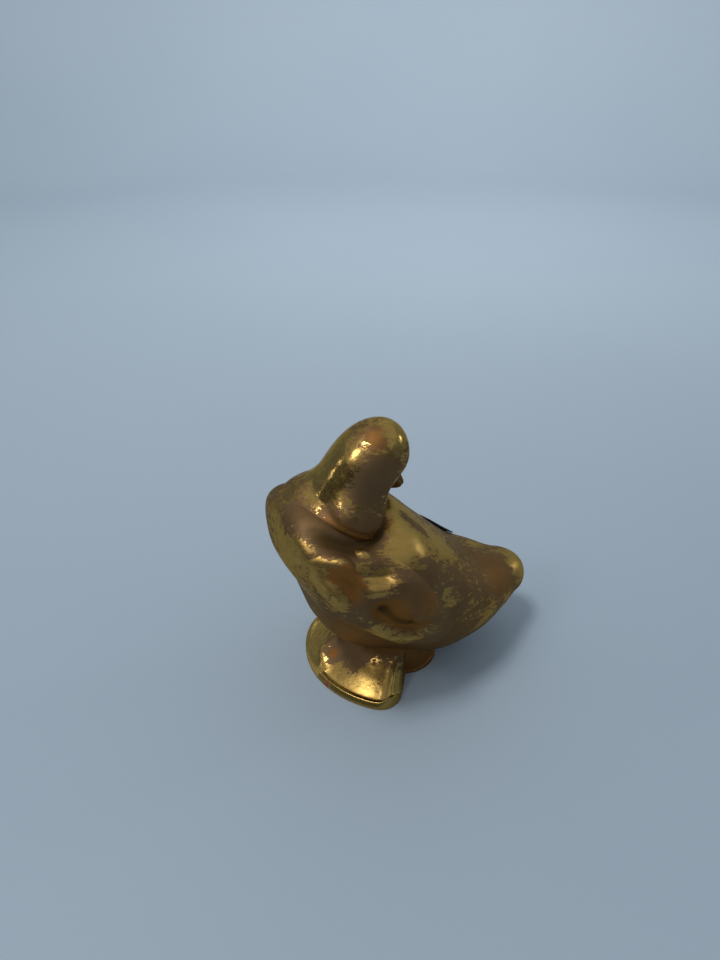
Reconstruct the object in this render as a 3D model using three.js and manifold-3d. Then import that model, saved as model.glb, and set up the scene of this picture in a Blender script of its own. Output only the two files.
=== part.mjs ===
// Gilded duck figurine: a slip-cast ceramic bird on webbed feet, its head turned over its right shoulder.
// Millimetres, +Z up. The breast faces -X and the duck's left side -Y. The feet stand on z = 0.
import * as THREE from 'three';
import { mergeVertices } from 'three/addons/utils/BufferGeometryUtils.js';
import Module from 'manifold-3d';

const wasm = await Module();
wasm.setup();
const { clamp, degToRad, lerp, smoothstep } = THREE.MathUtils;

// Clay and seams
const wall = 4;
const slipGap = 0.3;
const drainRadius = 3.5;
const drainSetBack = 15;

// Body rings from breast to tail: back x and z, belly x and z, half width, ride-up of the widest part
const bodyRings = [
  [-42.8, 62.5, -41.3, 50, 13, 0],
  [-38.8, 67.5, -36.8, 43, 16.8, 0.1],
  [-30.8, 69.5, -32.5, 28, 20.3, 0.24],
  [-19.8, 64.5, -25, 15.5, 21.8, 0.36],
  [-6.8, 61.5, -13, 6.5, 22.8, 0.42],
  [4.2, 51, 2.2, 2.6, 22.8, 0.25],
  [16.7, 38.6, 17.2, 3.5, 18.8, 0.32],
  [27.2, 32.5, 29.2, 9.5, 13.5, 0.2],
  [34.7, 28.6, 36.7, 13.5, 9.2, 0.1],
  [42.8, 27.4, 42.8, 15, 7, 0],
];
// Shares of the way from breast to tail
const breastDome = 0.14;
const tailDome = 0.1;
const hollowStart = 0.08;
const hollowEnd = 0.78;

// Neck and head: one bowed roll that leans back out of the breast
const neckPlace = 0.235;
const neckSink = 16;
const neckReach = 25.4;
const neckRise = 31;
const neckBow = 0.55;
const rootDome = 0.15;
const headDome = 0.45;
const headHalfWidth = 10.7;
const headHalfDepth = 10.4;
const flareWide = 4;
const flareDeep = 1.6;
const flareEnd = 0.42;
const throatPlace = 0.58;
const throatSpread = 0.2;
const throatDepth = 3;

// Bill: leaves the head towards the right flank and droops to the back
const billPlace = 0.7;
const billTurn = degToRad(42);
const billDrop = degToRad(67);
const billLength = 20;
const billLift = 3;
const billHalfWidth = 5.2;
const billRootDepth = 4.6;
const billTipDepth = 2;
const billDome = 0.4;

// Wings: upper and lower edge from the front tip to the rear tip, each corner a share of the way to the tail,
// degrees round from the back, and the share of the wing's width that the edge takes to rise
const wingUpperEdge = [
  [0.075, 74, 0.3], [0.083, 58, 0.3], [0.11, 47, 0.3], [0.19, 43, 0.28], [0.27, 40, 0.26],
  [0.34, 31, 0.3], [0.42, 42, 0.4], [0.48, 56, 0.5], [0.535, 70, 0.5], [0.555, 86, 0.5],
];
const wingLowerEdge = [
  [0.075, 74, 0.3], [0.08, 92, 0.3], [0.14, 107, 0.25], [0.22, 106, 0.16], [0.31, 100, 0.14],
  [0.37, 105, 0.14], [0.44, 112, 0.14], [0.51, 108, 0.2], [0.545, 99, 0.4], [0.555, 86, 0.5],
];
const wingTipRise = [0.2, 0.3];
const wingThick = 2.3;
const wingEdge = 0.25;
const wingSink = 1;
const wingSlices = 36;
const wingRows = 24;
// The front of each wing dies away on to the breast over these places, down to a share of its height
const wingFront = [0.1, 0.25];
const wingFrontShare = 0.04;
// Creases of each wing, pressed in by a thumb: stops from front to rear as places and degrees, the depth and
// reach of the scoop above, then the height of the rim below, its rise and its fade. The last is only a ridge
const creases = [
  {
    stops: [[0.09, 64], [0.13, 65], [0.16, 68], [0.21, 70], [0.255, 75], [0.28, 77]],
    depth: 2.1, reach: 5, rim: 1.1, rise: 3.2, fade: 4.6,
  },
  {
    stops: [[0.276, 36], [0.273, 46], [0.287, 53], [0.318, 54], [0.355, 51], [0.388, 44]],
    depth: 1.7, reach: 5, rim: 0.8, rise: 3.2, fade: 3.6,
  },
  {
    stops: [[0.305, 64], [0.33, 75], [0.358, 84], [0.384, 88], [0.414, 89], [0.442, 85], [0.455, 75]],
    depth: 2, reach: 5.2, rim: 1.1, rise: 3.4, fade: 4,
  },
  {
    stops: [[0.03, 44], [0.09, 46], [0.14, 48], [0.19, 46], [0.225, 41], [0.258, 37], [0.305, 33]],
    depth: 0, reach: 1.6, rim: 1.3, rise: 2.2, fade: 2.4,
  },
];
const creaseFade = [0.2, 0.3];
const creaseSteps = 48;
// Knob where the leading ridge meets the second scoop
const knobSpot = [0.303, 38];
const knobHeight = 1.2;
const knobSpread = 1.9;

// Feet: two webbed fans and their heel pads round one heel point, the right foot stepping out further
const heelPlace = 0.53;
const toeReach = 30.3;
const toeCutBack = 3.4;
const cornerCutBack = 0.13;
const stepOut = 6;
const fanAngle = degToRad(58);
const fanFade = 0.2;
const heelRadius = 11;
const footEdge = 0.4;
const webHeight = 0.9;
const shoulderStart = 0.96;
const instepHeight = 16;
const instepEnd = 0.95;
const instepFall = 1.15;
const heelFall = 0.8;
const lipHeight = 0.8;
const lipPlace = 0.96;
const lipSpread = 0.025;
const dishRise = 0.3;
const outerToeHeight = 1.8;
const outerToePlace = 0.95;
const outerToeSpread = 0.07;
// Low mound of the right foot, which drops to the left one at the seam
const moundHeight = 3.4;
const moundAngle = degToRad(14);
const moundSpread = degToRad(17);
const moundDrop = degToRad(8);
const moundShoulder = 0.16;

// Label: a blank oval sticker on the far slope of the back, bridging its hollow
const labelPlace = 0.66;
const labelTurn = -33;
const labelHalfPlace = 0.055;
const labelHalfTurn = 16;
const labelThick = 0.4;
const labelGlue = 0.15;
const labelBridge = 0.45;

// Finishes
const wornGold = { color: 0x7a6236, roughness: 0.28, metalness: 0.6 };
const brightGold = { color: 0x9a7c36, roughness: 0.24, metalness: 0.7 };
const brownGlaze = { color: 0x4f3b2a, roughness: 0.22, metalness: 0.15 };
const blackPaper = { color: 0x0d0b0a, roughness: 0.5, metalness: 0 };

// Smooth line through rows of numbers, t from 0 at the first row to 1 at the last.
function blend(rows, t) {
  const last = rows.length - 1;
  const i = clamp(Math.floor(t * last), 0, last - 1);
  const f = t * last - i;
  const row = (k) => {
    if (k < 0) return rows[0].map((v, n) => 2 * v - rows[1][n]);
    if (k > last) return rows[last].map((v, n) => 2 * v - rows[last - 1][n]);
    return rows[k];
  };
  const [a, b, c, d] = [row(i - 1), row(i), row(i + 1), row(i + 2)];
  return b.map((v, n) => 0.5 * (2 * v + (c[n] - a[n]) * f
    + (2 * a[n] - 5 * v + 4 * c[n] - d[n]) * f ** 2 + (3 * v - a[n] - 3 * c[n] + d[n]) * f ** 3));
}

function bump(x, centre, spread) {
  return Math.exp(-(((x - centre) / spread) ** 2));
}

// How full a ring is between two ends that close like domes: 0 at both ends, 1 from one dome to the other.
function closing(t, start, end, startDome, endDome) {
  const a = clamp(1 - (t - start) / startDome, 0, 1);
  const b = clamp(1 - (end - t) / endDome, 0, 1);
  return Math.sqrt(1 - a * a) * Math.sqrt(1 - b * b);
}

// Places of the rings between two poles, closer together in the domes.
function ringPlaces(start, end, startDome, endDome, inDome, between) {
  const rise = Array.from({ length: inDome - 1 }, (_, i) => 1 - Math.cos((i + 1) / inDome * Math.PI / 2));
  const first = start + startDome;
  const last = end - endDome;
  return [
    ...rise.map((r) => start + startDome * r),
    ...Array.from({ length: between + 1 }, (_, i) => lerp(first, last, i / between)),
    ...rise.toReversed().map((r) => end - endDome * r),
  ];
}

function turns(count) {
  return Array.from({ length: count }, (_, k) => k / count * 2 * Math.PI);
}

// Closed surface from a first pole, a run of equal rings and a last pole, its faces turned outward.
// Where it has relief, each quad is split along its shorter diagonal.
function loft(first, rings, last, hasRelief = false) {
  const size = rings[0].length;
  const points = [first, ...rings.flat(), last];
  const at = (ring, k) => 1 + ring * size + k % size;
  const faces = [];
  for (let k = 0; k < size; k += 1) {
    faces.push([0, at(0, k), at(0, k + 1)]);
    for (let r = 1; r < rings.length; r += 1) {
      const [a, b, c, d] = [at(r - 1, k), at(r, k), at(r, k + 1), at(r - 1, k + 1)];
      const turned = hasRelief && points[b].distanceTo(points[d]) < points[a].distanceTo(points[c]);
      faces.push(...(turned ? [[a, b, d], [b, c, d]] : [[a, b, c], [a, c, d]]));
    }
    faces.push([points.length - 1, at(rings.length - 1, k + 1), at(rings.length - 1, k)]);
  }
  const cross = new THREE.Vector3();
  const sixVolumes = faces.reduce((sum, [a, b, c]) => {
    return sum + cross.crossVectors(points[a], points[b]).dot(points[c]);
  }, 0);
  const outward = sixVolumes > 0 ? faces : faces.map(([a, b, c]) => [a, c, b]);
  return new THREE.BufferGeometry().setFromPoints(points).setIndex(outward.flat());
}

function toSolid(geometry) {
  geometry.deleteAttribute('normal');
  geometry.deleteAttribute('uv');
  const merged = mergeVertices(geometry);
  const vertProperties = new Float32Array(merged.attributes.position.array);
  const triVerts = new Uint32Array(merged.index.array);
  return new wasm.Manifold(new wasm.Mesh({ numProp: 3, vertProperties, triVerts }));
}

function toPiece(name, solid, finish) {
  const mesh = solid.getMesh();
  const geometry = new THREE.BufferGeometry();
  geometry.setAttribute('position', new THREE.BufferAttribute(mesh.vertProperties.slice(), 3));
  geometry.setIndex(new THREE.BufferAttribute(mesh.triVerts.slice(), 1));
  geometry.computeVertexNormals();
  const piece = new THREE.Mesh(geometry, new THREE.MeshStandardMaterial(finish));
  piece.name = name;
  return piece;
}

// Body surface: a ring hung between the back line and the belly line, grown by a skin, drawn to its middle.
// A turn of 0 is the back, a quarter turn the left flank and half a turn the belly.
function bodyPoint(place, turn, grow = 0, full = 1) {
  const [backX, backZ, bellyX, bellyZ, halfWidth, rideUp] = blend(bodyRings, place);
  const dome = closing(place, 0, 1, breastDome, tailDome);
  const height = Math.hypot(backX - bellyX, backZ - bellyZ);
  const up = (height / 2 * dome + grow) * full * Math.cos(turn) / height;
  const out = (halfWidth * dome + grow) * full * Math.sin(turn) * (1 + rideUp * Math.cos(turn));
  return new THREE.Vector3(
    (backX + bellyX) / 2 + (backX - bellyX) * up, -out, (backZ + bellyZ) / 2 + (backZ - bellyZ) * up);
}

function bodyNormal(place, turn) {
  const step = 0.001;
  const along = bodyPoint(place + step, turn).sub(bodyPoint(place - step, turn));
  const round = bodyPoint(place, turn + step).sub(bodyPoint(place, turn - step));
  return round.cross(along).normalize();
}

function bodySolid(grow) {
  const rings = ringPlaces(0, 1, breastDome, tailDome, 5, 24).map((place) => {
    return turns(36).map((turn) => bodyPoint(place, turn, grow));
  });
  return toSolid(loft(bodyPoint(0, 0, 0, 0), rings, bodyPoint(1, 0, 0, 0)));
}

function bodyHollow() {
  const ends = [hollowStart, hollowEnd, breastDome, breastDome];
  const rings = ringPlaces(...ends, 4, 16).map((place) => {
    return turns(28).map((turn) => bodyPoint(place, turn, -wall, closing(place, ...ends)));
  });
  return toSolid(loft(bodyPoint(hollowStart, 0, 0, 0), rings, bodyPoint(hollowEnd, 0, 0, 0)));
}

// Elliptical rings carried along a path, closed by a dome at each end.
function roll(path, halfSizes, end, startDome, endDome, between, sides) {
  const upright = new THREE.Vector3(0, 0, 1);
  const rings = ringPlaces(0, end, startDome, endDome, 5, between).map((t) => {
    const tangent = path(t + 0.001).sub(path(t - 0.001)).normalize();
    const side = new THREE.Vector3().crossVectors(tangent, upright).normalize();
    const over = new THREE.Vector3().crossVectors(side, tangent);
    const full = closing(t, 0, end, startDome, endDome);
    const [wide, deep, under = deep] = halfSizes(t);
    return turns(sides).map((turn) => path(t)
      .addScaledVector(side, wide * full * Math.cos(turn))
      .addScaledVector(over, (Math.sin(turn) < 0 ? under : deep) * full * Math.sin(turn)));
  });
  return toSolid(loft(path(0), rings, path(end)));
}

function neckPath(t) {
  const back = bodyPoint(neckPlace, 0);
  const bowed = t + neckBow * t * (1 - t);
  return new THREE.Vector3(back.x + neckReach * t, 0, back.z - neckSink + neckRise * bowed);
}

// Neck and head with a skin added, or their hollow with the wall taken off all round. The throat is drawn in.
function neckRoll(grow) {
  const halfSizes = (t) => {
    const flare = Math.max(0, 1 - t / flareEnd) ** 2;
    const deep = headHalfDepth + flareDeep * flare + grow;
    const throat = throatDepth * bump(t, throatPlace, throatSpread);
    return [headHalfWidth + flareWide * flare + grow, deep, deep - throat];
  };
  const end = 1 + grow / Math.hypot(neckReach, neckRise);
  return roll(neckPath, halfSizes, end, rootDome, headDome, 10, 32);
}

function billRoll() {
  const start = neckPath(billPlace);
  const level = new THREE.Vector3(Math.cos(billTurn), Math.sin(billTurn), 0);
  const along = level.clone().multiplyScalar(Math.cos(billDrop)).setZ(-Math.sin(billDrop));
  const lift = level.clone().setZ(1).normalize();
  const path = (t) => start.clone()
    .addScaledVector(along, billLength * t)
    .addScaledVector(lift, billLift * t ** 2);
  const halfSizes = (t) => [billHalfWidth, lerp(billRootDepth, billTipDepth, t)];
  return roll(path, halfSizes, 1, billDome, billDome, 6, 20);
}

// Points and directions along a crease on one side of the body.
function creaseLine(stops, side) {
  const at = (share) => {
    const [place, degrees] = blend(stops, share);
    return bodyPoint(place, side * degToRad(degrees));
  };
  return Array.from({ length: creaseSteps + 1 }, (_, i) => {
    const share = i / creaseSteps;
    const half = 0.5 / creaseSteps;
    return { share, point: at(share), along: at(share + half).sub(at(share - half)).normalize() };
  });
}

// Relief of one crease at a point of the body: the scoop sinks to it from above, the rim climbs below it.
function creaseRelief(point, normal, side, line, { depth, reach, rim, rise, fade }) {
  const away = (spot) => point.distanceToSquared(spot.point);
  const near = line.reduce((best, spot) => (away(spot) < away(best) ? spot : best));
  const below = -side * point.clone().sub(near.point).cross(normal).dot(near.along);
  const held = smoothstep(near.share, 0, creaseFade[0]) * smoothstep(1 - near.share, 0, creaseFade[1]);
  const scoop = below < 0 ? bump(below, 0, reach) : 1 - smoothstep(below, 0, rise);
  const edge = below < rise ? smoothstep(below, 0, rise) : bump(below, rise, fade);
  return held * (rim * edge - depth * scoop);
}

// One wing, side 1 on the duck's left and -1 on its right: a slab ruled from its upper to its lower edge,
// seated on the body and clear of the neck.
function wing(side, seat, neckSeat) {
  const lines = creases.map(({ stops }) => creaseLine(stops, side));
  const knob = bodyPoint(knobSpot[0], side * degToRad(knobSpot[1]));
  const spot = (along, across) => {
    const upper = blend(wingUpperEdge, along);
    const lower = blend(wingLowerEdge, along);
    const risen = smoothstep(across, 0, upper[2]) * smoothstep(1 - across, 0, lower[2])
      * smoothstep(along, 0, wingTipRise[0]) * smoothstep(1 - along, 0, wingTipRise[1]);
    return [lerp(upper[0], lower[0], across), side * degToRad(lerp(upper[1], lower[1], across)), risen];
  };
  const outer = (along, across) => {
    const [place, turn, risen] = spot(along, across);
    const point = bodyPoint(place, turn);
    const normal = bodyNormal(place, turn);
    const relief = creases.reduce((sum, crease, i) => {
      return sum + creaseRelief(point, normal, side, lines[i], crease);
    }, knobHeight * bump(point.distanceTo(knob), 0, knobSpread));
    const front = lerp(wingFrontShare, 1, smoothstep(place, ...wingFront));
    const height = Math.max(0, wingThick + relief) * front * risen;
    return point.addScaledVector(normal, slipGap + wingEdge + height);
  };
  const under = (along, across) => {
    const [place, turn] = spot(along, across);
    return bodyPoint(place, turn).addScaledVector(bodyNormal(place, turn), -wingSink);
  };
  const rows = Array.from({ length: wingRows + 1 }, (_, k) => k / wingRows);
  const slices = Array.from({ length: wingSlices - 1 }, (_, i) => (i + 1) / wingSlices);
  const rings = slices.map((along) => [
    ...rows.map((across) => outer(along, across)),
    ...rows.toReversed().map((across) => under(along, across)),
  ]);
  return toSolid(loft(outer(0, 0), rings, outer(1, 0), true)).subtract(seat).subtract(neckSeat);
}

// Label: its outer skin from the middle to the edge, then its under skin back, bridging the bend of the back.
function label() {
  const skin = (turn, out, extra) => {
    const place = labelPlace + labelHalfPlace * out * Math.cos(turn);
    const round = degToRad(labelTurn + labelHalfTurn * out * Math.sin(turn));
    const lift = labelGlue + labelBridge * (1 - (out * Math.cos(turn)) ** 2) + extra;
    return bodyPoint(place, round).addScaledVector(bodyNormal(place, round), lift);
  };
  const outs = [0.25, 0.5, 0.75, 1];
  const outer = outs.map((out) => turns(24).map((turn) => skin(turn, out, labelThick)));
  const under = outs.toReversed().map((out) => turns(24).map((turn) => skin(turn, out, 0)));
  return toSolid(loft(skin(0, 0, labelThick), [...outer, ...under], skin(0, 0, 0)));
}

// Both feet as one height field round the heel point, cut to the belly. An angle of 0 points to the breast.
function feetPair(seat) {
  const heel = bodyPoint(heelPlace, Math.PI);
  const reach = (angle) => {
    const share = Math.min(Math.abs(angle) / fanAngle, 1);
    const step = (angle > 0 ? stepOut : 0) - toeCutBack;
    const fan = (toeReach + step * Math.sin(share * Math.PI / 2)) * (1 - cornerCutBack * share ** 12);
    return lerp(fan, heelRadius, smoothstep(Math.abs(angle) / fanAngle, 1, 1 + fanFade));
  };
  const height = (angle, out) => {
    const share = Math.abs(angle) / fanAngle;
    const fan = 1 - smoothstep(share, 1, 1 + fanFade);
    const instep = instepHeight * Math.max(0, 1 - out / instepEnd) ** lerp(heelFall, instepFall, fan);
    const plain = angle > 0 ? bump(angle, moundAngle, 1.5 * moundSpread) : 0;
    const lip = lipHeight * bump(out, lipPlace, lipSpread) + dishRise * smoothstep(out, 0.6, lipPlace);
    const outerToe = outerToeHeight * bump(share, outerToePlace, outerToeSpread) * smoothstep(out, 0.3, 0.7);
    const mound = moundHeight * bump(angle, moundAngle, angle < moundAngle ? moundDrop : moundSpread)
      * smoothstep(out, 0.35, 0.7) * (1 - smoothstep(out, 0.86, 1));
    const shoulder = closing(out, -1, 1, 1, 1 - shoulderStart + moundShoulder * plain);
    const edge = (lip * (1 - plain) + outerToe) * fan;
    return footEdge + (webHeight - footEdge + instep + edge + mound) * shoulder;
  };
  const corner = [fanAngle * (1 - fanFade / 4), fanAngle * (1 + fanFade)];
  const fanSteps = Array.from({ length: 28 }, (_, k) => corner[0] * k / 28);
  const cornerSteps = Array.from({ length: 8 }, (_, k) => lerp(...corner, k / 8));
  const heelSteps = Array.from({ length: 8 }, (_, k) => lerp(corner[1], Math.PI, k / 8));
  const half = [...fanSteps, ...cornerSteps, ...heelSteps];
  const angles = [...half, Math.PI, ...half.slice(1).reverse().map((angle) => -angle)];
  const at = (angle, out, z) => new THREE.Vector3(
    heel.x - out * reach(angle) * Math.cos(angle), out * reach(angle) * Math.sin(angle), z);
  const outs = [0.2, 0.4, 0.55, 0.68, 0.78, 0.86, 0.91, 0.94, 0.96, 0.98, 0.99, 1];
  const rings = outs.map((out) => angles.map((angle) => at(angle, out, height(angle, out))));
  const sole = angles.map((angle) => at(angle, 1, 0));
  return toSolid(loft(at(0, 0, height(0, 0)), [...rings, sole], at(0, 0, 0))).subtract(seat);
}

// Everything on one side of the seam between the feet, side 1 on the right and -1 on the left.
function halfSpace(side) {
  const big = 2 * (toeReach + stepOut + Math.abs(bodyRings[0][0]));
  return toSolid(new THREE.BoxGeometry(big, big, big).translate(0, side * (big + slipGap) / 2, 0));
}

function drainHole() {
  const belly = bodyPoint(heelPlace, Math.PI);
  const hole = new THREE.CylinderGeometry(drainRadius, drainRadius, 2 * (belly.z + 3 * wall), 20);
  return toSolid(hole.rotateX(Math.PI / 2).translate(belly.x + drainSetBack, 0, 0));
}

const casting = bodySolid(0);
const seat = bodySolid(slipGap);
const neckSeat = neckRoll(slipGap);
const neckBore = neckRoll(-wall);
const feet = feetPair(seat);

const duck = new THREE.Group();
duck.name = 'duck_figurine';
duck.add(
  toPiece('body', casting.subtract(bodyHollow()).subtract(neckBore).subtract(drainHole()), wornGold),
  toPiece('head_and_neck', neckRoll(0).subtract(seat).subtract(neckBore), wornGold),
  toPiece('bill', billRoll().subtract(neckSeat).subtract(seat), brownGlaze),
  toPiece('left_wing', wing(1, seat, neckSeat), wornGold),
  toPiece('right_wing', wing(-1, seat, neckSeat), wornGold),
  toPiece('left_foot', feet.intersect(halfSpace(-1)), brightGold),
  toPiece('right_foot', feet.intersect(halfSpace(1)), brightGold),
  toPiece('back_label', label(), blackPaper),
);

// The origin is on the ground, under the middle of the duck's length and width.
const middle = new THREE.Box3().setFromObject(duck).getCenter(new THREE.Vector3());
duck.children.forEach((piece) => piece.position.set(-middle.x, -middle.y, 0));

export default duck;
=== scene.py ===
import math

import bpy
import numpy as np
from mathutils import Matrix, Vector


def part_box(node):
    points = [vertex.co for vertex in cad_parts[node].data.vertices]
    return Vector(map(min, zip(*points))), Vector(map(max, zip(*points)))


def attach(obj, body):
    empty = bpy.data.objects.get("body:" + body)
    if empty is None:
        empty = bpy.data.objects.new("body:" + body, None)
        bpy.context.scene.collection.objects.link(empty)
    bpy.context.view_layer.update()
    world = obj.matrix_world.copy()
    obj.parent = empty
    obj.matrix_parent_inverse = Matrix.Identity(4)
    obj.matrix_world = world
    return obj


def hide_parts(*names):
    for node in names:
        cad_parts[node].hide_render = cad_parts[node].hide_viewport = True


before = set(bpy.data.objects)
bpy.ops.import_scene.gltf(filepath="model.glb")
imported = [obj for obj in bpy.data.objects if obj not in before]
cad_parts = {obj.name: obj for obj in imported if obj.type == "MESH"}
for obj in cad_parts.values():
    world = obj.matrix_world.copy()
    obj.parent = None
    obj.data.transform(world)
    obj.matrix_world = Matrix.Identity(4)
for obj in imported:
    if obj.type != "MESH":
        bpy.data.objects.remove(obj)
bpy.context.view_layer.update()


# The body
# A hollow slip-cast trunk of red earthenware under a brown glaze, rubbed over by hand with gold lustre.
# The lustre has worn back to brushed patches. A drain hole under the belly let the slip out of the mould.
mm = 0.001
trunk_rings = np.array([  # back x, back z, belly x, belly z, half width, how far the widest line rides up
    (-42.8, 62.5, -41.3, 50.0, 13.0, 0.00),
    (-38.8, 67.5, -36.8, 43.0, 16.8, 0.10),
    (-30.8, 69.5, -32.5, 28.0, 20.3, 0.24),
    (-19.8, 64.5, -25.0, 15.5, 21.8, 0.36),
    (-6.8, 61.5, -13.0, 6.5, 22.8, 0.42),
    (4.2, 51.0, 2.2, 2.6, 22.8, 0.25),
    (16.7, 38.6, 17.2, 3.5, 18.8, 0.32),
    (27.2, 32.5, 29.2, 9.5, 13.5, 0.20),
    (34.7, 28.6, 36.7, 13.5, 9.2, 0.10),
    (42.8, 27.4, 42.8, 15.0, 7.0, 0.00),
])
breast_dome, tail_dome = 0.14, 0.10
heel_place = 0.53
drain_radius, drain_set_back, drain_depth = 3.5, 15.0, 6.0
belly_draw_in, trough_depth, trough_half_width = 1.1, 1.7, 3.0
shoulder_push, shoulder_spread = 2.1, 8.0
trunk_sides = 300


def through_rows(rows, place, closed=False):
    """A smooth cubic through rows of numbers: each stretch leans on the row before it and the row after it."""
    rows = np.asarray(rows, float)
    if closed:
        rows = np.vstack([rows, rows[:1]])
        ends = rows[-2:-1], rows[1:2]
    else:
        ends = 2 * rows[:1] - rows[1:2], 2 * rows[-1:] - rows[-2:-1]
    padded = np.vstack([ends[0], rows, ends[1]])
    stretch = np.clip(place, 0, 1) * (len(rows) - 1)
    first = np.minimum(stretch.astype(int), len(rows) - 2)
    t = (stretch - first)[..., None]
    a, b, c, d = padded[first], padded[first + 1], padded[first + 2], padded[first + 3]
    return 0.5 * (2 * b + (c - a) * t + (2 * a - 5 * b + 4 * c - d) * t**2 + (3 * b - a - 3 * c + d) * t**3)


def domed(t, end, start_dome, end_dome):
    """How full a ring is: a quarter ellipse closes each end, and the ring is full between them."""
    a = np.clip(1 - t / start_dome, 0, 1)
    b = np.clip(1 - (end - t) / end_dome, 0, 1)
    return np.sqrt(1 - a * a) * np.sqrt(1 - b * b)


def ring_places(end, start_dome, end_dome, in_dome, between):
    """Places along a closed roll, drawn together in its domes as the cosine of even angles."""
    rise = 1 - np.cos(np.arange(1, in_dome) / in_dome * math.pi / 2)
    middle = np.linspace(start_dome, end - end_dome, between)
    return np.concatenate([start_dome * rise, middle, (end - end_dome * rise)[::-1]])


def soft_step(x, low, high):
    """A rise from 0 at low to 1 at high, level at both ends."""
    t = np.clip((x - low) / (high - low), 0, 1)
    return t * t * (3 - 2 * t)


def swell(x, centre, spread):
    """A bell of height 1 at the centre."""
    return np.exp(-(((x - centre) / spread) ** 2))


def unit(v):
    """Vectors brought to length 1."""
    return v / np.maximum(np.linalg.norm(v, axis=-1, keepdims=True), 1e-9)


def trunk_skin(place, turn):
    """Cast skin of the trunk, in millimetres: an egg-shaped ring hung between the back line and the belly line.
    A turn of 0 is the back, a quarter turn the left flank, half a turn the belly."""
    back_x, back_z, belly_x, belly_z, half_width, ride = np.moveaxis(through_rows(trunk_rings, place), -1, 0)
    full = domed(place, 1, breast_dome, tail_dome)
    up = full * np.cos(turn) / 2
    out = half_width * full * np.sin(turn) * (1 + ride * np.cos(turn))
    middle_x, middle_z = (back_x + belly_x) / 2, (back_z + belly_z) / 2
    return np.stack([middle_x + (back_x - belly_x) * up, -out, middle_z + (back_z - belly_z) * up], -1)


def trunk_normal(place, turn):
    """Outward direction of the trunk, from two short steps across the skin."""
    step = 0.002
    place = np.clip(place, step, 1 - step)
    along = trunk_skin(place + step, turn) - trunk_skin(place - step, turn)
    around = trunk_skin(place, turn + step) - trunk_skin(place, turn - step)
    return unit(np.cross(around, along))


def near_line(points, normals, stops, side=1):
    """How points lie to a line drawn on the trunk through stops of place and turn in degrees, from front to rear.
    Gives the distance below the line, negative above it, and the share of the line's length at the nearest spot."""
    share = np.linspace(0, 1, 240)
    place, turn = np.moveaxis(through_rows(stops, share), -1, 0)
    line = trunk_skin(place, side * np.radians(turn))
    along = unit(np.gradient(line, axis=0))
    flat = points.reshape(-1, 3)
    nearest = np.argmin((line**2).sum(-1) - 2 * flat @ line.T, axis=1)
    apart = flat - line[nearest]
    below = -side * np.sign((np.cross(along[nearest], apart) * normals.reshape(-1, 3)).sum(-1))
    below *= np.linalg.norm(apart, axis=-1)
    return below.reshape(points.shape[:-1]), share[nearest].reshape(points.shape[:-1])


def near_pair(points, normals, stops):
    """The same for a line drawn alike on both flanks, each point taken to the one on its own side."""
    flanks = [near_line(points, normals, stops, side) for side in (1, -1)]
    return [np.where(points[..., 1] < 0, left, right) for left, right in zip(*flanks)]


def rubbed(points, patches):
    """Lustre left by the brush: a sum of soft round patches, each by place, turn in degrees, spread and amount."""
    place, turn, spread, amount = np.array(patches, float).T
    spots = trunk_skin(place, np.radians(turn))
    far = np.linalg.norm(points[..., None, :] - spots, axis=-1)
    return (amount * np.exp(-((far / spread) ** 2))).sum(-1)


def cast_piece(name, first, rings, last, **shades):
    """Closed skin from a first pole, rings of points in millimetres and a last pole, faced outward.
    Each shade is a number per point that the finish reads."""
    count, size = rings.shape[:2]
    points = np.concatenate([first[None], rings.reshape(-1, 3), last[None]]) + (set_back, 0, 0)
    ring = 1 + np.arange(count * size).reshape(count, size)
    beside = np.roll(ring, -1, 1)
    quads = np.stack([ring[:-1], ring[1:], beside[1:], beside[:-1]], -1).reshape(-1, 4)
    opening = np.stack([np.zeros(size, int), ring[0], beside[0]], -1)
    ending = np.stack([np.full(size, len(points) - 1), beside[-1], ring[-1]], -1)
    corner = points[quads]
    volume = (np.cross(corner[:, 0], corner[:, 1]) * corner[:, 2]).sum()
    volume += (np.cross(corner[:, 0], corner[:, 2]) * corner[:, 3]).sum()
    faces = [quads, opening, ending]
    if volume < 0:
        faces = [face[:, ::-1] for face in faces]
    mesh = bpy.data.meshes.new(name)
    mesh.from_pydata((points * mm).tolist(), [], [face for group in faces for face in group.tolist()])
    for shade, values in shades.items():
        row = np.concatenate([[values[0].mean()], values.ravel(), [values[-1].mean()]])
        mesh.attributes.new(shade, "FLOAT", "POINT").data.foreach_set("value", row.astype(np.float32))
    mesh.shade_smooth()
    piece = bpy.data.objects.new(name, mesh)
    bpy.context.collection.objects.link(piece)
    return piece


class Line:
    """One shader socket. Plain arithmetic on it adds Math nodes, and node() adds any other node."""

    def __init__(self, tree, socket=None):
        self.tree = tree
        self.socket = socket

    def node(self, kind, settings, inputs, output=0):
        made = self.tree.nodes.new(kind)
        for name, value in settings.items():
            setattr(made, name, value)
        for name, value in inputs.items():
            if isinstance(value, Line):
                self.tree.links.new(value.socket, made.inputs[name])
            else:
                made.inputs[name].default_value = value
        return Line(self.tree, made.outputs[output] if made.outputs else None)

    def sum_of(self, operation, one, other):
        return self.node("ShaderNodeMath", {"operation": operation}, {0: one, 1: other})

    def __add__(self, other):
        return self.sum_of("ADD", self, other)

    def __radd__(self, other):
        return self.sum_of("ADD", other, self)

    def __sub__(self, other):
        return self.sum_of("SUBTRACT", self, other)

    def __rsub__(self, other):
        return self.sum_of("SUBTRACT", other, self)

    def __mul__(self, other):
        return self.sum_of("MULTIPLY", self, other)

    def __rmul__(self, other):
        return self.sum_of("MULTIPLY", other, self)


def new_finish(name):
    """An empty material, and a line to draw its nodes with."""
    material = bpy.data.materials.new(name)
    material.use_nodes = True
    material.node_tree.nodes.clear()
    return material, Line(material.node_tree)


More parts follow.
